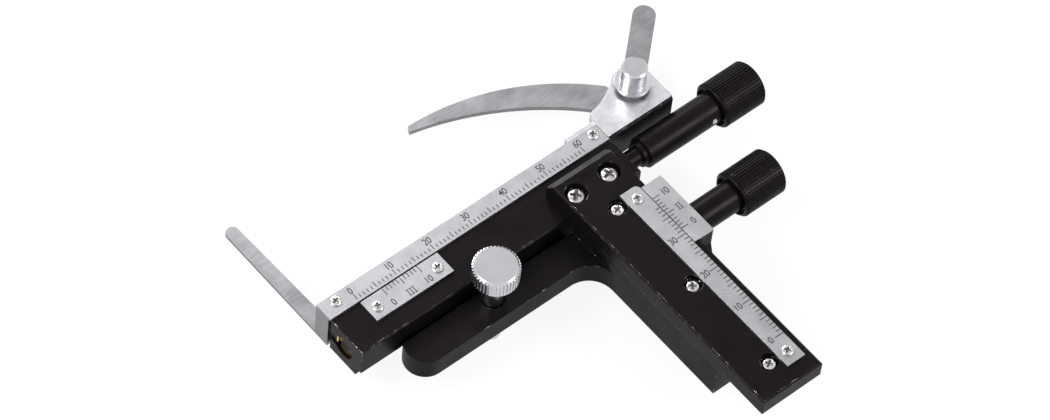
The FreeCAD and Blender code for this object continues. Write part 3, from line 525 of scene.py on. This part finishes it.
def add_print(name, shape, body):
    """Turns a bmesh into a piece of ink that rides on a body of the stage."""
    mesh = bpy.data.meshes.new(name)
    shape.to_mesh(mesh)
    shape.free()
    mesh.materials.append(ink)
    piece = bpy.data.objects.new(name, mesh)
    scene.collection.objects.link(piece)
    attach(piece, body)


def print_strokes(name, body, node, along, zero, pitch, last, edge, inward, lengths):
    """Strokes 0 to last along an axis, each from the edge inward by tens, fives or ones."""
    base = plate_box(node)[1][2]
    tens, fives, ones = lengths
    shape = bmesh.new()
    for number in range(last + 1):
        place = zero + pitch * number
        length = tens if number % 10 == 0 else fives if number % 5 == 0 else ones
        sides = (place - STROKE_WIDTH / 2, place + STROKE_WIDTH / 2)
        ends = sorted((edge, edge + inward * length))
        spans = (sides, ends) if along == "X" else (ends, sides)
        low, high = zip(*spans, (base, base + INK_HEIGHT))
        add_bar(shape, low, high)
    add_print(name, shape, body)
    print(name, last + 1, "strokes")


print("strokes", STROKE_WIDTH, "mm wide")

# %% Scale along X
X_ZERO_INSET = 7.4
X_LAST = 60
X_LINE_SETBACK = 0.58

x_scale_low = plate_box("x_scale_plate")[0]
x_zero = x_scale_low[0] + X_ZERO_INSET
print_strokes("x_scale_lines", "x_slide", "x_scale_plate", "X", zero=x_zero, pitch=1, last=X_LAST,
              edge=x_scale_low[1] + X_LINE_SETBACK, inward=1, lengths=(1.40, 1.40, 0.88))

# %% [markdown]
# ## Verniers
# A vernier reads tenths of a millimetre: its ten divisions are each 0.9 mm, so only
# one of its strokes meets a stroke of the scale beside it. The same function draws
# it, with its own pitch and with strokes that start at the edge next to the scale.

# %% Vernier along X
VERNIER_PITCH = 0.9
VERNIER_LAST = 10
X_VERNIER_INSET = 5.5
EDGE_GAP = 0.02

x_vernier_low, x_vernier_high = plate_box("x_vernier_plate")
x_vernier_zero = x_vernier_low[0] + X_VERNIER_INSET
print_strokes("x_vernier_lines", "y_slide", "x_vernier_plate", "X", zero=x_vernier_zero,
              pitch=VERNIER_PITCH, last=VERNIER_LAST, edge=x_vernier_high[1] - EDGE_GAP,
              inward=-1, lengths=(1.85, 1.85, 1.12))

# %% Scale and vernier along Y
Y_ZERO_INSET = 6.6
Y_LAST = 38
Y_VERNIER_INSET = 4.05

y_scale_low, y_scale_high = plate_box("y_scale_plate")
y_zero = y_scale_low[1] + Y_ZERO_INSET
print_strokes("y_scale_lines", "y_slide", "y_scale_plate", "Y", zero=y_zero, pitch=1, last=Y_LAST,
              edge=y_scale_high[0] - EDGE_GAP, inward=-1, lengths=(2.17, 1.75, 1.15))

y_vernier_low = plate_box("y_vernier_plate")[0]
y_vernier_zero = y_vernier_low[1] + Y_VERNIER_INSET
print_strokes("y_vernier_lines", "mount", "y_vernier_plate", "Y", zero=y_vernier_zero,
              pitch=VERNIER_PITCH, last=VERNIER_LAST, edge=y_vernier_low[0] + EDGE_GAP,
              inward=1, lengths=(1.75, 1.75, 1.1))

# %% [markdown]
# ## Printed numbers
# Digits have curves that are slow to draw by hand, and Blender's text objects set and
# centre them well. A text object can't be joined with others, so each is turned into
# a mesh at once and a scale's numbers become one piece. Each vernier also has a Roman
# numeral, which is only upright bars with small feet and is built from bars.

# %% Digits and numerals
DIGIT_HEIGHT = 1.62
FONT_SHARE = 0.70
DIGIT_NARROWING = 0.86
DIGIT_SPACING = 0.92
DIGIT_BOLDNESS = 0.02
DIGIT_CURVE_STEPS = 4
MERGE_DISTANCE = 0.0005
NUMERAL_PITCH = 0.72
NUMERAL_HALF_WIDTH = 0.11
FOOT_HALF_WIDTH = 0.33
FOOT_HEIGHT = 0.12


def add_words(shape, words, x, y, base):
    """Adds a short text, centred on (x, y), lying on height base, to a bmesh."""
    curve = bpy.data.curves.new("words", "FONT")
    curve.body = words
    curve.align_x = "CENTER"
    curve.align_y = "CENTER"
    curve.size = DIGIT_HEIGHT / FONT_SHARE * MM
    curve.extrude = INK_HEIGHT / 2 * MM
    curve.offset = DIGIT_BOLDNESS * MM
    curve.space_character = DIGIT_SPACING
    curve.resolution_u = DIGIT_CURVE_STEPS
    holder = bpy.data.objects.new("words", curve)
    scene.collection.objects.link(holder)
    graph = bpy.context.evaluated_depsgraph_get()
    mesh = bpy.data.meshes.new_from_object(holder.evaluated_get(graph))
    place = Matrix.Translation(Vector((x, y, base + INK_HEIGHT / 2)) * MM)
    mesh.transform(place @ Matrix.Diagonal((DIGIT_NARROWING, 1, 1, 1)))
    shape.from_mesh(mesh)
    bpy.data.objects.remove(holder)
    bpy.data.meshes.remove(mesh)


def add_numeral(shape, count, x, y, base):
    """Upright bars with a foot and a cap each, side by side along X."""
    top = base + INK_HEIGHT
    tall = DIGIT_HEIGHT / 2
    for index in range(count):
        middle = x + (index - (count - 1) / 2) * NUMERAL_PITCH
        add_bar(shape, (middle - NUMERAL_HALF_WIDTH, y - tall, base),
                (middle + NUMERAL_HALF_WIDTH, y + tall, top))
        for end in (y - tall, y + tall - FOOT_HEIGHT):
            add_bar(shape, (middle - FOOT_HALF_WIDTH, end, base),
                    (middle + FOOT_HALF_WIDTH, end + FOOT_HEIGHT, top))


def print_numbers(name, body, node, entries, numeral=None):
    """entries holds (words, x, y); numeral is its count of bars, x and y."""
    base = plate_box(node)[1][2]
    shape = bmesh.new()
    for words, x, y in entries:
        add_words(shape, words, x, y, base)
    if numeral:
        add_numeral(shape, *numeral, base)
    bmesh.ops.remove_doubles(shape, verts=shape.verts, dist=MERGE_DISTANCE * MM)
    add_print(name, shape, body)
    print(name, len(entries), "numbers")


print("digits", DIGIT_HEIGHT, "mm tall")

# %% Numbers along X
X_NUMBER_ROW = 2.95
X_VERNIER_ROW = 1.4

row = x_scale_low[1] + X_NUMBER_ROW
print_numbers("x_scale_numbers", "x_slide", "x_scale_plate",
              [(str(tens), x_zero + tens, row) for tens in range(0, X_LAST + 1, 10)])
row = x_vernier_low[1] + X_VERNIER_ROW
print_numbers("x_vernier_numbers", "y_slide", "x_vernier_plate",
              [(str(tens), x_vernier_zero + tens * VERNIER_PITCH, row) for tens in (0, 10)],
              numeral=(3, x_vernier_zero + 5 * VERNIER_PITCH, row))

# %% Numbers along Y
Y_NUMBER_COLUMN = 1.35
Y_VERNIER_COLUMN = 3.25

column = y_scale_low[0] + Y_NUMBER_COLUMN
print_numbers("y_scale_numbers", "y_slide", "y_scale_plate",
              [(str(tens), column, y_zero + tens) for tens in range(0, Y_LAST + 1, 10)])
column = y_vernier_low[0] + Y_VERNIER_COLUMN
print_numbers("y_vernier_numbers", "mount", "y_vernier_plate",
              [(str(tens), column, y_vernier_zero + tens * VERNIER_PITCH) for tens in (0, 10)],
              numeral=(2, column, y_vernier_zero + 5 * VERNIER_PITCH))

# %% [markdown]
# ## Screws with a crossed recess
# The small screws have domed heads, and their crossed recess catches the light as a
# star; its faces take a dark steel that is painted shade in the hollow. Cutting the
# cross with a Boolean is slow and can fail on thin shapes. Here a head is a disc of
# rings and spokes, and a height formula lifts each point onto the dome or drops it
# into the cross. One mesh serves all screws of its size.

# %% Shape of a screw head
HEAD_RINGS = 14
HEAD_SPOKES = 72
CROSS_REACH = 0.62
CROSS_HALF_WIDTH = 0.13
CROSS_SLOPE = 0.09
CROSS_DEPTH = 0.6
CROSS_RISE = 0.55
RIM_HEIGHT = 0.55


def ease(value):
    """0 below 0, 1 above 1 and a smooth step between."""
    value = min(max(value, 0.0), 1.0)
    return value * value * (3 - 2 * value)


def head_height(x, y, height):
    """Height at a point of the head, with x and y as shares of its radius."""
    reach = math.hypot(x, y)
    dome = height * (RIM_HEIGHT + (1 - RIM_HEIGHT) * math.sqrt(max(1 - reach ** 2, 0)))
    arms = [ease((CROSS_HALF_WIDTH + CROSS_SLOPE - abs(across)) / CROSS_SLOPE)
            * ease((CROSS_REACH + CROSS_SLOPE - abs(along)) / CROSS_SLOPE)
            for across, along in ((x, y), (y, x))]
    deepest = height * CROSS_DEPTH * (1 - CROSS_RISE * min(reach / CROSS_REACH, 1))
    return dome - deepest * max(arms)


print("middle of a head 1 mm tall", round(head_height(0, 0, 1), 2), "mm")

# %% Mesh of a screw head
SMOOTH_BELOW = math.radians(35)


def head_rows(shape, radius, height):
    """Rings of points from the middle outward; the last ring lies on the seat."""
    rows = []
    for ring in range(1, HEAD_RINGS + 2):
        share = min(ring / HEAD_RINGS, 1)
        row = []
        for spoke in range(HEAD_SPOKES):
            angle = 2 * math.pi * spoke / HEAD_SPOKES
            x = share * math.cos(angle)
            y = share * math.sin(angle)
            level = head_height(x, y, height) if ring <= HEAD_RINGS else 0
            row.append(shape.verts.new(Vector((x * radius, y * radius, level)) * MM))
        rows.append(row)
    return rows


def screw_mesh(name, radius, height):
    """Closed head of a screw, its seat at height 0; sizes in millimetres."""
    shape = bmesh.new()
    middle = shape.verts.new((0, 0, head_height(0, 0, height) * MM))
    rows = head_rows(shape, radius, height)
    for index in range(HEAD_SPOKES):
        after = (index + 1) % HEAD_SPOKES
        shape.faces.new((middle, rows[0][index], rows[0][after]))
        for inner, outer in zip(rows, rows[1:]):
            shape.faces.new((inner[index], outer[index], outer[after], inner[after]))
    shape.faces.new(list(reversed(rows[-1])))
    # Faces inside the cross take the second finish, a dark steel that is painted shade.
    for face in shape.faces:
        centre = face.calc_center_median() / (radius * MM)
        across, along = sorted((abs(centre.x), abs(centre.y)))
        in_cross = across < CROSS_HALF_WIDTH + CROSS_SLOPE / 2 and along < CROSS_REACH
        face.material_index = int(in_cross)
    mesh = bpy.data.meshes.new(name)
    shape.to_mesh(mesh)
    shape.free()
    mesh.shade_smooth()
    mesh.set_sharp_from_angle(angle=SMOOTH_BELOW)
    mesh.materials.append(screw_steel)
    mesh.materials.append(recess_painted_shade)
    return mesh


def add_screw(name, mesh, place, body):
    """A screw head at a place, riding on a body of the stage."""
    screw = bpy.data.objects.new(name, mesh)
    scene.collection.objects.link(screw)
    screw.matrix_world = place
    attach(screw, body)
    return screw


print("faces on a head", (HEAD_RINGS + 1) * HEAD_SPOKES + 1)

# %% [markdown]
# ## Screws in place
# Each head stands for a plain one among the solids and takes its size and seat from
# it. Screws that were tightened by hand never line up, so each has its own turn.

# %% Screws in place
SCREW_TURNS = {
    "x_scale_screw_one": ("x_slide", 20), "x_scale_screw_two": ("x_slide", 48),
    "x_vernier_screw_one": ("y_slide", 65), "x_vernier_screw_two": ("y_slide", 12),
    "y_scale_screw_one": ("y_slide", 35), "y_scale_screw_two": ("y_slide", 75),
    "plate_screw_far": ("y_slide", 15), "plate_screw_middle": ("y_slide", 52),
    "plate_screw_near": ("y_slide", 30), "guide_screw_one": ("y_slide", 40),
    "guide_screw_two": ("y_slide", 8),
}

screw_meshes = {}
for node, (body, degrees) in SCREW_TURNS.items():
    low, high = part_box(node)
    radius = round((high[0] - low[0]) / 2 / MM, 2)
    height = round((high[2] - low[2]) / MM, 2)
    if (radius, height) not in screw_meshes:
        screw_meshes[radius, height] = screw_mesh(f"screw_{len(screw_meshes)}", radius, height)
    seat = Vector(((low[0] + high[0]) / 2, (low[1] + high[1]) / 2, low[2]))
    place = Matrix.Translation(seat) @ Matrix.Rotation(math.radians(degrees), 4, "Z")
    screw = add_screw(node.replace("_screw", "_screw_head"), screw_meshes[radius, height], place, body)
    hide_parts(node)
print("screw sizes", len(screw_meshes), "screws", len(SCREW_TURNS))

# %% [markdown]
# ## The grub screw
# A knob is held on its shaft by a small grub screw through the sleeve, which shows as
# a bright spot beside the far knob. A screw head's mesh, made small and sunk into the
# sleeve, does for it, because only its rim and recess can be seen. It turns with the
# knob.

# %% Grub screw in the far knob's sleeve
SLEEVE_RADIUS = 3.55
KNOB_LENGTH = 11.0
GRUB_RADIUS = 0.6
GRUB_HEIGHT = 0.2
GRUB_SETBACK = 2.1
GRUB_SINK = 0.08
GRUB_TILT = math.radians(80)

low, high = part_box("x_knob")
grub_x = high[0] - (KNOB_LENGTH + GRUB_SETBACK) * MM
axis_point = Vector((grub_x, (low[1] + high[1]) / 2, (low[2] + high[2]) / 2))
rise = Matrix.Translation((0, 0, (SLEEVE_RADIUS - GRUB_SINK) * MM))
place = Matrix.Translation(axis_point) @ Matrix.Rotation(GRUB_TILT, 4, "X") @ rise
add_screw("x_knob_grub_screw", screw_mesh("grub_screw", GRUB_RADIUS, GRUB_HEIGHT), place, "x_knob")
print("grub screw", GRUB_SETBACK, "mm from the knob")
